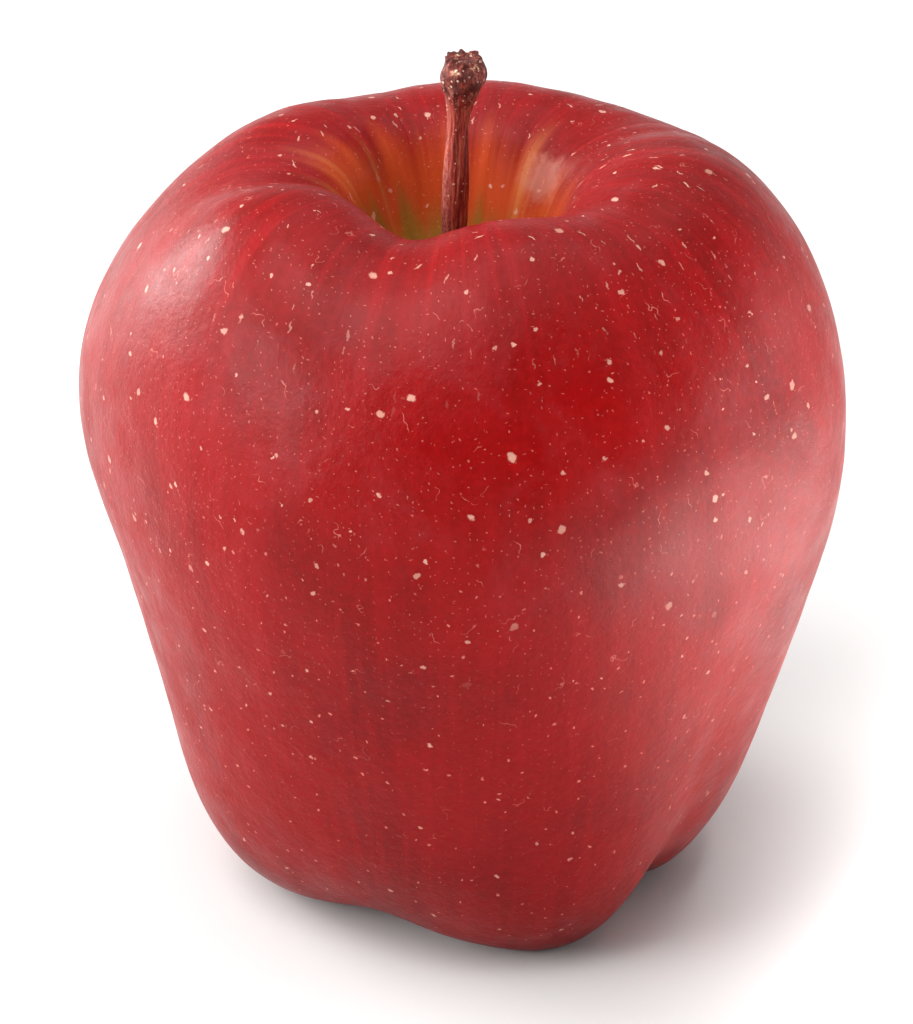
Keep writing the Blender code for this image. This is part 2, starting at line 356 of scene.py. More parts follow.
def mesh_object(name, points, faces, look):
    """A smooth mesh object of the apple, riding on its one body."""
    mesh = bpy.data.meshes.new(name)
    mesh.from_pydata(points, [], faces)
    mesh.validate()
    mesh.shade_smooth()
    mesh.materials.append(look)
    made = bpy.data.objects.new(name, mesh)
    bpy.context.scene.collection.objects.link(made)
    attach(made, "root")
    return made


def tube_faces(rings, around, first=0):
    """Quads between rings of points that close on themselves."""
    faces = []
    for ring in range(rings - 1):
        low = first + ring * around
        high = low + around
        for i in range(around):
            j = (i + 1) % around
            faces.append((low + i, low + j, high + j, high + i))
    return faces


def ripple(point, size, seed):
    """Smooth noise from -1 to 1 at a point in millimetres, with features of about that size."""
    return noise.noise(Vector(point) / size + Vector((seed, seed * 1.7, -seed)))


# ---------------------------------------------------------------- node helper

class Nodes:
    """Builds one node-based material. Values are numbers, colours or the sockets of earlier nodes."""

    def __init__(self, name):
        self.material = bpy.data.materials.new(name)
        self.material.use_nodes = True
        self.tree = self.material.node_tree
        self.shader = self.tree.nodes["Principled BSDF"]

    def put(self, socket, value):
        if isinstance(value, bpy.types.NodeSocket):
            self.tree.links.new(value, socket)
        elif socket.type == "RGBA" and len(value) == 3:
            socket.default_value = (*value, 1.0)
        else:
            socket.default_value = value

    def add(self, kind, inputs, output=0, **settings):
        node = self.tree.nodes.new(kind)
        for name, value in settings.items():
            setattr(node, name, value)
        for name, value in inputs.items():
            self.put(node.inputs[name], value)
        return node.outputs[output]

    def place(self):
        """Place on the object, in millimetres of the frame."""
        where = self.add("ShaderNodeTexCoord", {}, "Object")
        return self.add("ShaderNodeVectorMath", {0: where, "Scale": 1000.0}, operation="SCALE")

    def parts(self, vector):
        split = self.tree.nodes.new("ShaderNodeSeparateXYZ")
        self.put(split.inputs[0], vector)
        return split.outputs[0], split.outputs[1], split.outputs[2]

    def join(self, x, y, z):
        return self.add("ShaderNodeCombineXYZ", {"X": x, "Y": y, "Z": z})

    def math(self, operation, *values):
        return self.add("ShaderNodeMath", dict(enumerate(values)), operation=operation)

    def product(self, first, *others):
        result = first
        for other in others:
            result = self.math("MULTIPLY", result, other)
        return result

    def vector(self, operation, *vectors):
        return self.add("ShaderNodeVectorMath", dict(enumerate(vectors)), operation=operation)

    def dot(self, first, second):
        return self.add("ShaderNodeVectorMath", {0: first, 1: second}, "Value", operation="DOT_PRODUCT")

    def scaled(self, vector, factor):
        return self.add("ShaderNodeVectorMath", {0: vector, "Scale": factor}, operation="SCALE")

    def length(self, vector):
        return self.add("ShaderNodeVectorMath", {0: vector}, "Value", operation="LENGTH")

    def shift(self, vector, offset):
        return self.add("ShaderNodeVectorMath", {0: vector, 1: offset}, operation="ADD")

    def stretch(self, vector, factors):
        return self.add("ShaderNodeVectorMath", {0: vector, 1: factors}, operation="MULTIPLY")

    def fade(self, value, start, end, low=0.0, high=1.0):
        """low below start, high above end, and smooth between; start may lie above end."""
        inputs = {"Value": value, "From Min": start, "From Max": end, "To Min": low, "To Max": high}
        return self.add("ShaderNodeMapRange", inputs, interpolation_type="SMOOTHSTEP")

    def noise(self, where, size, detail=2.0, roughness=0.5, warp=0.0):
        inputs = {
            "Vector": where,
            "Scale": 1.0 / size,
            "Detail": detail,
            "Roughness": roughness,
            "Distortion": warp,
        }
        return self.add("ShaderNodeTexNoise", inputs, "Fac")

    def blend(self, share, first, second):
        """first where share is 0, second where it is 1."""
        mix = self.tree.nodes.new("ShaderNodeMix")
        mix.data_type = "RGBA"
        self.put(mix.inputs[0], share)
        self.put(mix.inputs[6], first)
        self.put(mix.inputs[7], second)
        return mix.outputs[2]

    def bump(self, height, depth, below=None):
        """Fine relief: height from 0 to 1 stands for depth in millimetres."""
        inputs = {"Height": height, "Strength": 1.0, "Distance": depth * MM}
        if below is not None:
            inputs["Normal"] = below
        return self.add("ShaderNodeBump", inputs)

    def finish(self, **inputs):
        for name, value in inputs.items():
            self.put(self.shader.inputs[name.replace("_", " ")], value)
        return self.material


# ---------------------------------------------------------------- the skin's material

def around_axis(nodes, where, side, width, length):
    """Place for streaks that run along the side: width across and length along, in millimetres."""
    x, y, _ = nodes.parts(where)
    flat = nodes.join(x, y, 0.0)
    unit = nodes.add("ShaderNodeVectorMath", {0: flat}, operation="NORMALIZE")
    ux, uy, _ = nodes.parts(unit)
    across = BELLY_RADIUS / width
    along = nodes.math("MULTIPLY", side, SIDE_LENGTH / length)
    return nodes.join(nodes.math("MULTIPLY", ux, across), nodes.math("MULTIPLY", uy, across), along)


def marks(nodes, where, spacing, length, width, keep, seed, depth, lengthwise=False):
    """Small oval marks in the surface, length by width in millimetres, scattered about spacing apart.

    They are picked from a layer of that depth round the surface, and only a share of them, keep, shows.
    They point every way, or down the side if lengthwise is true.
    """
    place = nodes.shift(where, (seed, seed * 0.7, -seed))
    cell = nodes.tree.nodes.new("ShaderNodeTexVoronoi")
    nodes.put(cell.inputs["Vector"], place)
    nodes.put(cell.inputs["Scale"], 1.0 / spacing)
    chance, second, third = nodes.parts(cell.outputs["Color"])
    away = nodes.vector("SUBTRACT", place, cell.outputs["Position"])
    normal = nodes.add("ShaderNodeNewGeometry", {}, "Normal")
    if lengthwise:
        guide = (0.0, 0.0, 1.0)
    else:
        guide = nodes.shift(cell.outputs["Color"], (-0.5, -0.5, -0.5))
    across = nodes.vector("NORMALIZE", nodes.vector("CROSS_PRODUCT", normal, guide))
    along = nodes.vector("CROSS_PRODUCT", normal, across)
    size = nodes.math("ADD", 0.55, nodes.math("MULTIPLY", second, 0.65))
    u = nodes.math("DIVIDE", nodes.dot(away, along), length / 2.0)
    v = nodes.math("DIVIDE", nodes.dot(away, across), width / 2.0)
    oval = nodes.length(nodes.join(u, v, 0.0))
    shape = nodes.fade(nodes.math("DIVIDE", oval, size), 1.0, 0.6)
    sunk = nodes.math("ABSOLUTE", nodes.dot(away, normal))
    near = nodes.math("LESS_THAN", sunk, depth)
    shown = nodes.math("LESS_THAN", chance, keep)
    strength = nodes.math("ADD", 0.6, nodes.math("MULTIPLY", third, 0.4))
    return nodes.product(shape, near, shown, strength)


def skin_ground(nodes, where, side, crown):
    """Deep red in soft blotches, with streaks down the side that are clearest round the crest."""
    broad = nodes.noise(around_axis(nodes, where, side, 6.0, 45.0), 1.0, 3.0, 0.55)
    fine = nodes.noise(around_axis(nodes, where, side, 1.5, 24.0), 1.0, 3.0, 0.6)
    blotch = nodes.noise(where, 15.0, 3.0, 0.5)
    grain = nodes.noise(where, 0.8, 3.0, 0.6)
    tone = nodes.math("ADD", nodes.math("MULTIPLY", broad, 0.35), nodes.math("MULTIPLY", blotch, 0.65))
    colour = nodes.blend(nodes.fade(tone, 0.36, 0.60), DARK_RED, RED)
    bright_streak = nodes.product(nodes.fade(fine, 0.46, 0.70), nodes.fade(crown, 0.0, 1.0, 0.22, 0.55))
    colour = nodes.blend(bright_streak, colour, BRIGHT_RED)
    dark_streak = nodes.product(nodes.fade(fine, 0.48, 0.30), nodes.fade(crown, 0.0, 1.0, 0.15, 0.45))
    colour = nodes.blend(dark_streak, colour, DARK_RED)
    return nodes.blend(nodes.fade(grain, 0.35, 0.70, 0.0, 0.22), colour, BRIGHT_RED)


def hollows(nodes, where, side, top, bottom, colour):
    """The colours of the cavity and the basin over the skin's colour, in uneven rays."""
    ray = nodes.noise(around_axis(nodes, where, side, 13.0, 160.0), 1.0, 4.0, 0.6)
    thin_ray = nodes.noise(around_axis(nodes, where, side, 5.0, 110.0), 1.0, 2.0, 0.6)
    uneven = nodes.math("SUBTRACT", ray, 0.5)

    # The cavity passes from red at its lip through orange to olive at its floor, further up on one side.
    x, y, _ = nodes.parts(where)
    back_left = nodes.math("SUBTRACT", y, x)
    wander = nodes.math("MULTIPLY", uneven, 0.10)
    wander = nodes.math("SUBTRACT", wander, nodes.fade(back_left, -10.0, 16.0, -0.014, 0.012))
    depth = nodes.math("ADD", side, wander)
    colour = nodes.blend(nodes.product(nodes.fade(depth, *ORANGE_SIDE, 0.0, 0.9), top), colour, ORANGE)
    light_ray = nodes.product(nodes.fade(thin_ray, 0.54, 0.72), nodes.fade(depth, *STRAW_SIDE), top)
    colour = nodes.blend(nodes.math("MULTIPLY", light_ray, 0.6), colour, STRAW)
    colour = nodes.blend(nodes.product(nodes.fade(depth, *OLIVE_SIDE), top), colour, OLIVE)
    colour = nodes.blend(nodes.product(nodes.fade(depth, *DARK_OLIVE_SIDE), top), colour, DARK_OLIVE)

    # The basin at the other end pales to orange and olive round the calyx.
    hollow = nodes.math("ADD", side, nodes.math("MULTIPLY", uneven, 0.06))
    pale_basin = nodes.product(nodes.fade(hollow, *BASIN_ORANGE_SIDE, 0.0, 0.85), bottom)
    colour = nodes.blend(pale_basin, colour, ORANGE)
    green_basin = nodes.product(nodes.fade(hollow, *BASIN_OLIVE_SIDE), bottom)
    return nodes.blend(green_basin, colour, OLIVE)


def bloom_and_painted_sheen(nodes, where, height, colour):
    """A thin grey-pink waxy haze over the skin's colour, uneven, on the upper half: partly real wax,
    partly painted sheen.
    """
    bloom_and_sheen = nodes.noise(where, 8.0, 5.0, 0.62, 0.6)
    bloom_and_sheen = nodes.product(nodes.fade(bloom_and_sheen, 0.48, 0.72, 0.0, 0.06), nodes.fade(height, 30.0, 60.0))
    return nodes.blend(bloom_and_sheen, colour, BLOOM_AND_SHEEN)


def small_marks(nodes, where, side, height, crown, colour):
    """Pores, large and far apart above and small and close together below, then flecks and fibres."""
    wobble = nodes.add("ShaderNodeTexNoise", {"Vector": where, "Scale": 2.2, "Detail": 2.0}, "Color")
    shaky = nodes.vector("ADD", where, nodes.scaled(nodes.shift(wobble, (-0.5, -0.5, -0.5)), 0.55))
    upper = nodes.fade(height, 34.0, 52.0)
    lower = nodes.fade(height, 58.0, 42.0)
    large = nodes.product(marks(nodes, shaky, **LARGE_PORES), upper)
    middling = marks(nodes, shaky, **MIDDLING_PORES)
    small = nodes.product(marks(nodes, shaky, **SMALL_PORES), lower)
    dashes = marks(nodes, shaky, **DASHES, lengthwise=True)
    dashes = nodes.product(dashes, crown, nodes.fade(side, 0.10, 0.15))
    flecks = marks(nodes, shaky, **FLECKS)
    flecks = nodes.product(flecks, nodes.fade(height, 20.0, 66.0, 0.25, 0.75))
    curl = nodes.add("ShaderNodeTexNoise", {"Vector": where, "Scale": 0.9, "Detail": 1.0}, "Color")
    curled = nodes.vector("ADD", where, nodes.scaled(nodes.shift(curl, (-0.5, -0.5, -0.5)), 2.4))
    fibres = marks(nodes, curled, **FIBRES)
    fibres = nodes.product(fibres, nodes.fade(height, 10.0, 50.0, 0.35, 0.8))
    pores = nodes.math("MAXIMUM", large, nodes.math("MAXIMUM", middling, dashes))
    dust = nodes.math("MAXIMUM", flecks, fibres)
    colour = nodes.blend(nodes.math("MULTIPLY", small, 0.75), colour, PINK_CREAM)
    colour = nodes.blend(nodes.math("MULTIPLY", pores, 0.76), colour, CREAM)
    return nodes.blend(nodes.math("MULTIPLY", dust, 0.58), colour, PINK_CREAM)


def russet_and_painted_sheen(nodes, where, colour):
    """A pale russet patch on the cavity's wall to the right of the stem, partly painted sheen."""
    russet_sheen = nodes.length(nodes.vector("SUBTRACT", where, RUSSET_SHEEN_PLACE))
    russet_sheen = nodes.math("ADD", russet_sheen, nodes.math("MULTIPLY", nodes.noise(where, 1.2, 3.0, 0.6), 3.0))
    return nodes.blend(nodes.fade(russet_sheen, *RUSSET_SHEEN_RADII, 0.0, 0.45), colour, RUSSET_SHEEN)


def skin_material():
    """The waxy red skin. Its UV layer holds the share of the side, which the streaks follow."""
    nodes = Nodes("apple_skin")
    where = nodes.place()
    uv = nodes.add("ShaderNodeUVMap", {}, uv_map="OFBake")
    _, side, _ = nodes.parts(uv)
    _, _, height = nodes.parts(where)
    top = nodes.fade(height, 45.0, 55.0)
    bottom = nodes.fade(height, 30.0, 20.0)
    crown = nodes.product(nodes.fade(side, *CROWN_SIDE), top)

    colour = skin_ground(nodes, where, side, crown)
    colour = hollows(nodes, where, side, top, bottom, colour)
    # A waxy haze on the upper half: partly real wax, partly painted sheen.
    colour = bloom_and_painted_sheen(nodes, where, height, colour)
    colour = small_marks(nodes, where, side, height, crown, colour)
    # A pale patch on the cavity's right wall: partly russet, partly painted sheen.
    colour = russet_and_painted_sheen(nodes, where, colour)

    # The gloss changes a little from place to place, and the cavity is matt.
    roughness = nodes.fade(nodes.noise(where, 5.0, 3.0, 0.6), 0.32, 0.68, 0.32, 0.46)
    matt = nodes.product(nodes.fade(side, *MATT_SIDE), top)
    roughness = nodes.math("MAXIMUM", roughness, nodes.math("MULTIPLY", matt, 0.62))
    peel = nodes.noise(where, PEEL_SIZE, 4.0, 0.72)
    return nodes.finish(
        Base_Color=colour,
        Roughness=roughness,
        Specular_IOR_Level=0.115,
        Coat_Weight=0.03,
        Coat_Roughness=0.2,
        Normal=nodes.bump(peel, PEEL_DEPTH),
    )


def stem_material():
    """Red-brown fibrous bark with a grey-pink painted highlight on its left, a dark crusted knob and pale
    flakes at its rim.
    """
    nodes = Nodes("stem_bark")
    where = nodes.place()
    x, _, height = nodes.parts(where)
    along = nodes.stretch(where, (1.0, 1.0, 0.10))
    fibre = nodes.noise(along, 0.22, 3.0, 0.65)
    broad = nodes.noise(along, 0.8, 2.0, 0.5)
    crumb = nodes.noise(where, 0.30, 3.0, 0.7)
    knob = nodes.fade(height, 79.8, 82.2)
    colour = nodes.blend(nodes.fade(broad, 0.36, 0.64), BARK_DARK, BARK_RED)
    colour = nodes.blend(nodes.fade(fibre, 0.47, 0.66, 0.0, 0.75), colour, BARK_PALE)
    colour = nodes.blend(nodes.fade(fibre, 0.40, 0.30, 0.0, 0.8), colour, BARK_SHADE)
    # Painted highlight: grey-pink, in patches, on the stem's left side only.
    painted_left_highlight = nodes.product(nodes.fade(x, -0.5, -1.5), nodes.fade(crumb, 0.40, 0.62))
    colour = nodes.blend(nodes.math("MULTIPLY", painted_left_highlight, 0.4), colour, BARK_HIGHLIGHT_GREY)
    crust = nodes.noise(where, 0.75, 4.0, 0.65)
    dark_crust = nodes.product(knob, nodes.fade(crust, 0.62, 0.40, 0.25, 0.9))
    colour = nodes.blend(dark_crust, colour, KNOB_DARK)
    rim = nodes.fade(height, 83.4, 84.6, 0.15, 1.0)
    flakes = nodes.product(nodes.fade(crust, 0.56, 0.64), knob, rim)
    colour = nodes.blend(nodes.math("MULTIPLY", flakes, 0.85), colour, KNOB_FLAKE)
    on_bark = marks(nodes, where, **BARK_SPECKS)
    on_knob = nodes.product(marks(nodes, where, **KNOB_SPECKS), knob)
    specks = nodes.math("MAXIMUM", on_bark, on_knob)
    colour = nodes.blend(nodes.math("MULTIPLY", specks, 0.8), colour, BARK_SPECK)
    grooves = nodes.bump(fibre, 0.16)
    relief = nodes.bump(crumb, 0.07, grooves)
    relief = nodes.bump(nodes.product(crust, knob), 0.25, relief)
    roughness = nodes.fade(crumb, 0.3, 0.7, 0.5, 0.75)
    return nodes.finish(Base_Color=colour, Roughness=roughness, Specular_IOR_Level=0.2, Normal=relief)


def husk_material():
    """Dry brown husk with pale woolly hairs."""
    nodes = Nodes("calyx_husk")
    where = nodes.place()
    vein = nodes.noise(where, 0.5, 3.0, 0.6)
    wool = nodes.noise(where, 0.16, 2.0, 0.6)
    colour = nodes.blend(nodes.fade(vein, 0.35, 0.65), HUSK_DARK, HUSK_BROWN)
    colour = nodes.blend(nodes.fade(wool, 0.52, 0.72, 0.0, 0.75), colour, HUSK_WOOL)
    relief = nodes.bump(wool, 0.08, nodes.bump(vein, 0.1))
    roughness = nodes.fade(wool, 0.3, 0.7, 0.75, 0.95)
    return nodes.finish(Base_Color=colour, Roughness=roughness, Normal=relief)


# ---------------------------------------------------------------- the pieces

def swells(grid, shares):
    """Small outward shifts of a grid of skin points: low swells, and rays round the cavity."""
    down = np.gradient(grid, axis=0)
    along = np.roll(grid, -1, axis=1) - np.roll(grid, 1, axis=1)
    normal = np.cross(down, along)
    normal /= np.linalg.norm(normal, axis=2, keepdims=True)
    rings, around = grid.shape[:2]
    amount = np.zeros((rings, around))
    for ring in range(rings):
        crown = float(smooth((shares[ring] - 0.06) / 0.06) * smooth((0.33 - shares[ring]) / 0.12))
        calm = float(smooth(shares[ring] / 0.04) * smooth((1.0 - shares[ring]) / 0.04))
        for i in range(around):
            x, y, z = grid[ring, i]
            shift = BROAD_SWELL_HEIGHT * ripple((x, y, z), BROAD_SWELL_LENGTH, 1.0)
            shift += SMALL_SWELL_HEIGHT * ripple((x, y, z), SMALL_SWELL_LENGTH, 5.0)
            angle = i * TURN / around
            on_ring = (math.cos(angle) * 20.0, math.sin(angle) * 20.0, shares[ring] * 30.0)
            ray = ripple(on_ring, RAY_WIDTH, 7.0)
            amount[ring, i] = calm * (shift + RAY_HEIGHT * crown * ray)
    return (normal * amount[:, :, None]).reshape(-1, 3)


def make_skin(look):
    """The fine skin: a grid of rings from the cavity floor to the pit, each end closed by a fan."""
    rings = SKIN_RINGS
    around = SKIN_SEGMENTS
    shares = np.linspace(0.0, 1.0, rings + 2)[1:-1]
    azimuths = np.arange(around) * TURN / around
    share, azimuth = np.meshgrid(shares, azimuths, indexing="ij")
    points = fruit_point(share.ravel(), azimuth.ravel())
    ends = fruit_point(np.array([0.0, 1.0]), np.array([0.0, 0.0]))
    points = np.vstack([points, ends])

    low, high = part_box("fruit")
    middle = (np.array(low) + np.array(high)) / 2.0 / MM
    own_middle = (points.min(axis=0) + points.max(axis=0)) / 2.0
    points[:, :2] += middle[:2] - own_middle[:2]
    points[:rings * around] += swells(points[:rings * around].reshape(rings, around, 3), shares)
    points[:, 2] = np.maximum(points[:, 2], low.z / MM)

    grid = np.arange(rings * around).reshape(rings, around)
    faces = []
    for ring in range(rings - 1):
        for i in range(around):
            j = (i + 1) % around
            faces.append((grid[ring, i], grid[ring + 1, i], grid[ring + 1, j], grid[ring, j]))
    top = rings * around
    bottom = top + 1
    for i in range(around):
        j = (i + 1) % around
        faces.append((top, grid[0, i], grid[0, j]))
        faces.append((bottom, grid[rings - 1, j], grid[rings - 1, i]))
    skin = mesh_object("skin", (points * MM).tolist(), faces, look)
    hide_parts("fruit")

    own_share = np.concatenate([share.ravel(), [0.0, 1.0]])
    own_turn = np.concatenate([azimuth.ravel() / TURN, [0.0, 0.0]])
    lay_out_skin(skin.data, own_share, own_turn, top)


def lay_out_skin(mesh, own_share, own_turn, first_end):
    """UV layer with u the azimuth and v the share of the side, so that streaks can follow the side.

    The two points from first_end on are the ends, which have no azimuth of their own.
    """
    layer = mesh.uv_layers.new(name="OFBake")
    half_step = 0.5 / SKIN_SEGMENTS
    for face in mesh.polygons:
        turns = [own_turn[v] for v in face.vertices if v < first_end]
        wraps = max(turns) - min(turns) > 0.5
        for loop in face.loop_indices:
            vertex = mesh.loops[loop].vertex_index
            turn = own_turn[vertex]
            if vertex >= first_end:
                turn = 1.0 - half_step if wraps else min(turns) + half_step
            elif wraps and turn < 0.5:
                turn += 1.0
            layer.data[loop].uv = (turn, own_share[vertex])


def make_stem(look):
    """A woody stalk with lengthwise ridges, and a rough broken knob with a flaky rim."""
    way = np.array(STEM_WAY)
    curve = spline(way[:, 2], way, ((0.0, 0.0, 1.0, 0.0), (0.0, 0.0, 1.0, -0.4)))
    foot = cad_stem_foot()
    rings = STEM_RINGS
    around = STEM_SEGMENTS
    points = []
    for ring in range(rings):
        height = way[0, 2] + (way[-1, 2] - way[0, 2]) * ring / (rings - 1)
        x, y, z, radius = curve(height)
        knob = float(smooth((z - KNOB_FROM) / 2.0))
        rim = float(smooth((z - RIM_FROM) / 0.8))
        for i in range(around):
            angle = i * TURN / around
            out = np.array([math.cos(angle), math.sin(angle), 0.0])
            ridged = BARK_RIDGE_HEIGHT * ripple((out[0] * 3.2, out[1] * 3.2, z * 0.10), 0.75, 3.0)
            grain = BARK_GRAIN_HEIGHT * ripple((out[0] * 3.0, out[1] * 3.0, z * 0.3), 0.3, 17.0)
            lumps = KNOB_LUMP_HEIGHT * knob * ripple((out[0] * 2.4, out[1] * 2.4, z), 1.1, 9.0)
            flakes = RIM_FLAKE_HEIGHT * rim * ripple((out[0] * 4.0, out[1] * 4.0, z * 1.5), 0.8, 21.0)
            point = np.array([x, y, z]) + out * (radius + ridged + grain + lumps + flakes)
            point[2] += rim * RIM_RAGGEDNESS * ripple((out[0] * 3.0, out[1] * 3.0, 0.0), 1.0, 33.0)
            points.append(point)
    points = np.array(points)
    points[:, 0] += foot[0]
    points[:, 1] += foot[1]

    # The broken end dips in the middle, over a few rings that shrink to a point.
    rim_ring = points[-around:]
    centre = rim_ring.mean(axis=0)
    for share in BREAK_SHARES:
        inner = centre + (rim_ring - centre) * share
        for point in inner:
            point[2] += 0.12 * ripple(point, 0.6, 5.0) - BREAK_DIP * (1.0 - share)
        points = np.vstack([points, inner])
    base = points[:around].mean(axis=0)
    points = np.vstack([points, base, centre - np.array([0.0, 0.0, BREAK_MIDDLE_DIP])])
    rings += len(BREAK_SHARES)
    faces = tube_faces(rings, around)
    last = (rings - 1) * around
    for i in range(around):
        j = (i + 1) % around
        faces.append((rings * around, j, i))
        faces.append((rings * around + 1, last + i, last + j))
    stem = mesh_object("stalk", (points * MM).tolist(), faces, look)
    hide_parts("stem")


def cad_stem_foot():
    """Middle of the CAD stem's lowest ring, in millimetres."""
    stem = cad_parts["stem"]
    places = np.array([vertex.co for vertex in stem.data.vertices]) / MM
    lowest = places[places[:, 2] < places[:, 2].min() + 0.2]
    return (lowest.min(axis=0) + lowest.max(axis=0)) / 2.0


def leaf_points(middle, turn, seed):
    """Both faces of one curled sepal, each a grid of SEPAL_ROWS rows of SEPAL_SEGMENTS points."""
    way = np.array(SEPAL_WAY)
    points = []
    for side in (1.0, -1.0):
        for row in range(SEPAL_ROWS):
            share = row / (SEPAL_ROWS - 1)
            station = share * (len(way) - 1)
            radius = np.interp(station, range(len(way)), way[:, 0])
            height = np.interp(station, range(len(way)), way[:, 1])
            for column in range(SEPAL_SEGMENTS):
                v = 2.0 * column / (SEPAL_SEGMENTS - 1) - 1.0
                half = SEPAL_WIDTH / 2.0 * (1.0 - 0.88 * share ** 1.5)
                torn = 1.0 + 0.10 * math.sin(share * 31.0 + seed) * abs(v) ** 3
                thick = SEPAL_THICKNESS / 2.0 * (1.0 - 0.75 * v * v) * (1.0 - 0.5 * share)
                crumple = 0.16 * ripple((radius, v * 2.0, seed), 0.9, seed) * (0.3 + share)
                curl = 0.30 * v * v + crumple
                reach = radius - curl + side * thick * 0.5
                points.append((reach, v * half * torn, height - 0.3 * curl + side * thick))
    points = np.array(points)
    turned = points.copy()
    turned[:, 0] = points[:, 0] * math.cos(turn) - points[:, 1] * math.sin(turn) + middle[0]
    turned[:, 1] = points[:, 0] * math.sin(turn) + points[:, 1] * math.cos(turn) + middle[1]
    return turned


def leaf_faces():
    """Faces of one sepal: its two grids, and the thin strip that joins them along their edge."""
    across = SEPAL_SEGMENTS
    along = SEPAL_ROWS
    lower = across * along
    faces = []
    for row in range(along - 1):
        for column in range(across - 1):
            a = row * across + column
            b, c, d = a + 1, a + across + 1, a + across
            faces.append((d, c, b, a))
            faces.append((lower + a, lower + b, lower + c, lower + d))
    edge = list(range(across))
    edge += [row * across + across - 1 for row in range(1, along)]
    edge += [(along - 1) * across + column for column in range(across - 2, -1, -1)]
    edge += [row * across for row in range(along - 2, 0, -1)]
    for a, b in zip(edge, edge[1:] + edge[:1]):
        faces.append((a, b, b + lower, a + lower))
    return faces


def make_sepals(look):
    """Five dried sepals, curled and crumpled, each in the place of its plain solid."""
    middle = calyx_middle()
    faces = leaf_faces()
    for i, tilt in enumerate(SEPAL_TILTS):
        turn = math.radians(SEPAL_FIRST_AZIMUTH + tilt) + i * TURN / len(SEPAL_TILTS)
        points = leaf_points(middle, turn, 3.0 + i)
        sepal = mesh_object(f"leaf_{i + 1}", (points * MM).tolist(), faces, look)
        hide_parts(f"sepal_{i + 1}")


def make_stamens(look):
    """A tuft of dried stamens: thin bent threads with a swollen tip, close together."""
    low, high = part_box("stamen_tuft")
    low = np.array(low) / MM
    high = np.array(high) / MM
    middle = (low + high) / 2.0
    rings = STAMEN_RINGS
    around = STAMEN_SEGMENTS
    points = []
    faces = []
    for k in range(STAMEN_COUNT):
        turn = k * GOLDEN_TURN
        spread = math.sqrt((k + 0.5) / STAMEN_COUNT)
        length = (high[2] - low[2]) * (0.72 + 0.28 * abs(math.sin(k * 2.3)))
        first = len(points)
        for ring in range(rings):
            share = ring / (rings - 1)
            reach = spread * (0.80 - 0.25 * share) + 0.10 * math.sin(share * 5.0 + k)
            x = middle[0] + reach * math.cos(turn + 0.4 * share)
            y = middle[1] + reach * math.sin(turn + 0.4 * share)
            z = high[2] - length * share
            radius = STAMEN_RADIUS + STAMEN_TIP_SWELL * math.exp(-((share - 0.92) / 0.07) ** 2)
            if ring in (0, rings - 1):
                radius *= 0.5
            for i in range(around):
                angle = i * TURN / around
                points.append((x + radius * math.cos(angle), y + radius * math.sin(angle), z))
        faces += [tuple(reversed(face)) for face in tube_faces(rings, around, first)]
        faces.append(tuple(range(first, first + around)))
        end = first + (rings - 1) * around
        faces.append(tuple(reversed(range(end, end + around))))
    tuft = mesh_object("stamens", (np.array(points) * MM).tolist(), faces, look)
    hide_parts("stamen_tuft")


def calyx_middle():
    """Middle of the five sepals in x and y, in millimetres, from the tuft that they surround."""
    low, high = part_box("stamen_tuft")
    return (low.x + high.x) / 2.0 / MM, (low.y + high.y) / 2.0 / MM


# ---------------------------------------------------------------- the studio

CAMERA_ELEVATION = 27.2
CAMERA_DISTANCE = 0.523
CAMERA_LENS = 188.4
CAMERA_SHIFT = (-0.0062, -0.0113)

# What the camera faces: this place in x and y, at this share of the fruit's height.
TARGET_PLACE = (0.00035, 0.00116)
TARGET_SHARE = 0.4954

# What the softboxes face: the middle of the apple.
APPLE_MIDDLE = Vector((0.0, 0.0, 0.04))

# Softboxes round the apple: where each one hangs as seen from the apple, its size and its brightness.
Softbox = namedtuple("Softbox", "name azimuth elevation distance width height radiance")
SOFTBOXES = (
    Softbox("key_left", 150.0, 14.0, 0.60, 0.34, 0.28, 15.5),
    Softbox("key_front", 204.0, 18.0, 0.60, 0.34, 0.30, 10.0),
    Softbox("key_top", 214.0, 58.0, 0.60, 0.38, 0.36, 5.4),
    Softbox("fill_right", 7.0, 8.0, 0.55, 0.36, 0.14, 6.2),
    Softbox("overhead", 100.0, 88.0, 0.80, 1.0, 1.0, 1.9),
)

# Narrow lamps that face straight down and light pools of the floor on the right, for the apple to mirror.
Pool = namedtuple("Pool", "name x y lamp_height width length radiance spread")
POOLS = (
    Pool("pool_right", 0.20, -0.07, 0.16, 0.16, 0.20, 21.0, 66.0),
    Pool("pool_near", 0.10, -0.06, 0.20, 0.04, 0.12, 16.0, 40.0),
)

# Brightness of the room that the apple mirrors, on the camera's side and elsewhere.
ROOM_FRONT = 0.12
ROOM_BACK = 0.56

# The floor: how far it reaches in metres, its two shades, and its glow, which begins and is full at these
# distances in millimetres.
FLOOR_REACH = 3.0
FLOOR_SHADE = (0.60, 0.596, 0.59)
FLOOR_LIGHT = (0.62, 0.616, 0.61)
GLOW_REACH = (420.0, 760.0)
GLOW_STRENGTH = 0.85


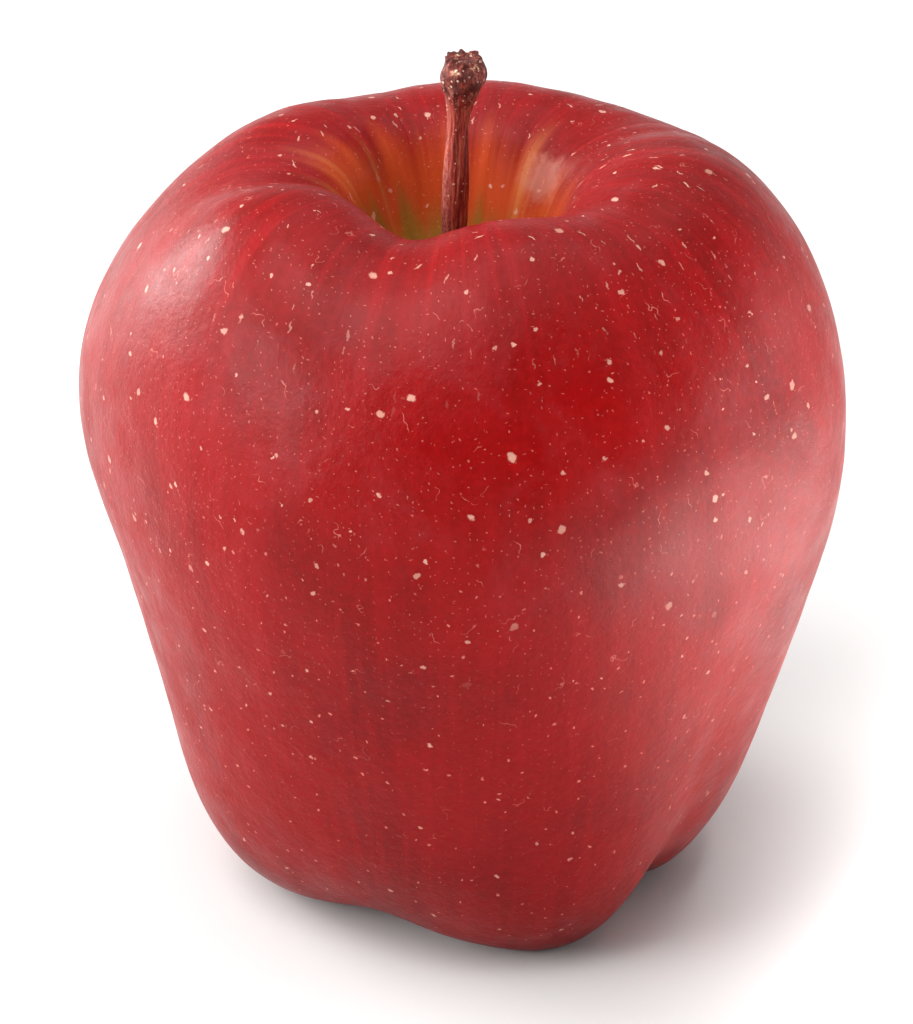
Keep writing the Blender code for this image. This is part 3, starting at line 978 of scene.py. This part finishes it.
def make_camera():
    """Looks down at the apple from the front, aimed a little below the middle of the fruit."""
    low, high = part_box("fruit")
    target = Vector((*TARGET_PLACE, low.z + (high.z - low.z) * TARGET_SHARE))
    tilt = math.radians(CAMERA_ELEVATION)
    towards = Vector((0.0, -math.cos(tilt), math.sin(tilt)))
    camera = bpy.data.objects.new("camera", bpy.data.cameras.new("camera"))
    camera.location = target + towards * CAMERA_DISTANCE
    camera.rotation_euler = (math.pi / 2.0 - tilt, 0.0, 0.0)
    camera.data.sensor_width = 36.0
    camera.data.lens = CAMERA_LENS
    camera.data.shift_x, camera.data.shift_y = CAMERA_SHIFT
    camera.data.clip_start = 0.01
    bpy.context.scene.collection.objects.link(camera)
    bpy.context.scene.camera = camera


def seen_from_apple(azimuth, elevation, distance):
    """Place at that distance from the middle of the apple, seen in that direction."""
    turn = math.radians(azimuth)
    tilt = math.radians(elevation)
    out = Vector((math.cos(turn) * math.cos(tilt), math.sin(turn) * math.cos(tilt), math.sin(tilt)))
    return APPLE_MIDDLE + out * distance


def lamp(name, place, aim, width, height, radiance, spread=math.pi):
    """A rectangular light at a place, facing the point it is aimed at, and unseen by the camera."""
    light = bpy.data.lights.new(name, "AREA")
    light.shape = "RECTANGLE"
    light.size = width
    light.size_y = height
    light.energy = radiance * math.pi * width * height
    light.spread = spread
    holder = bpy.data.objects.new(name, light)
    holder.location = place
    holder.rotation_euler = (place - aim).to_track_quat("Z", "Y").to_euler()
    holder.visible_camera = False
    bpy.context.scene.collection.objects.link(holder)


def make_world():
    """White for the camera; for the apple a soft grey room, darker on the camera's side."""
    world = bpy.data.worlds.new("studio")
    world.use_nodes = True
    tree = world.node_tree
    background = tree.nodes["Background"]
    background.inputs["Color"].default_value = (1.0, 1.0, 1.0, 1.0)
    direction = tree.nodes.new("ShaderNodeTexCoord")
    split = tree.nodes.new("ShaderNodeSeparateXYZ")
    tree.links.new(direction.outputs["Generated"], split.inputs[0])
    room = tree.nodes.new("ShaderNodeMapRange")
    room.interpolation_type = "SMOOTHSTEP"
    room.inputs["From Min"].default_value = -0.8
    room.inputs["From Max"].default_value = 0.4
    room.inputs["To Min"].default_value = ROOM_FRONT
    room.inputs["To Max"].default_value = ROOM_BACK
    tree.links.new(split.outputs[1], room.inputs["Value"])
    path = tree.nodes.new("ShaderNodeLightPath")
    strength = tree.nodes.new("ShaderNodeMapRange")
    strength.inputs["To Max"].default_value = 1.0
    tree.links.new(path.outputs["Is Camera Ray"], strength.inputs["Value"])
    tree.links.new(room.outputs["Result"], strength.inputs["To Min"])
    tree.links.new(strength.outputs["Result"], background.inputs["Strength"])
    bpy.context.scene.world = world


def make_floor():
    """A plain pale floor under the apple."""
    nodes = Nodes("studio_floor")
    where = nodes.place()
    shade = nodes.noise(where, 60.0, 2.0)
    colour = nodes.blend(shade, FLOOR_SHADE, FLOOR_LIGHT)
    # Far from the apple, out of the lamps' reach, the floor glows so that it meets the white room.
    glow = nodes.fade(nodes.length(where), *GLOW_REACH, 0.0, GLOW_STRENGTH)
    look = nodes.finish(
        Base_Color=colour,
        Roughness=0.7,
        Specular_IOR_Level=0.15,
        Emission_Color=(1.0, 1.0, 1.0),
        Emission_Strength=glow,
    )
    mesh = bpy.data.meshes.new("floor")
    reach = FLOOR_REACH
    z = cad_low.z
    corners = [(-reach, -reach, z), (reach, -reach, z), (reach, reach, z), (-reach, reach, z)]
    mesh.from_pydata(corners, [], [(0, 1, 2, 3)])
    mesh.materials.append(look)
    floor = bpy.data.objects.new("floor", mesh)
    bpy.context.scene.collection.objects.link(floor)


def make_studio():
    """The camera, the room, the floor and the lamps."""
    make_camera()
    make_world()
    make_floor()
    for box in SOFTBOXES:
        place = seen_from_apple(box.azimuth, box.elevation, box.distance)
        lamp(box.name, place, APPLE_MIDDLE, box.width, box.height, box.radiance)
    for pool in POOLS:
        aim = Vector((pool.x, pool.y, 0.0))
        place = aim + Vector((0.0, 0.0, pool.lamp_height))
        spread = math.radians(pool.spread)
        lamp(pool.name, place, aim, pool.width, pool.length, pool.radiance, spread)
    bpy.context.scene.view_settings.view_transform = "Standard"


make_studio()
make_skin(skin_material())
make_stem(stem_material())
husk = husk_material()
make_sepals(husk)
make_stamens(husk)
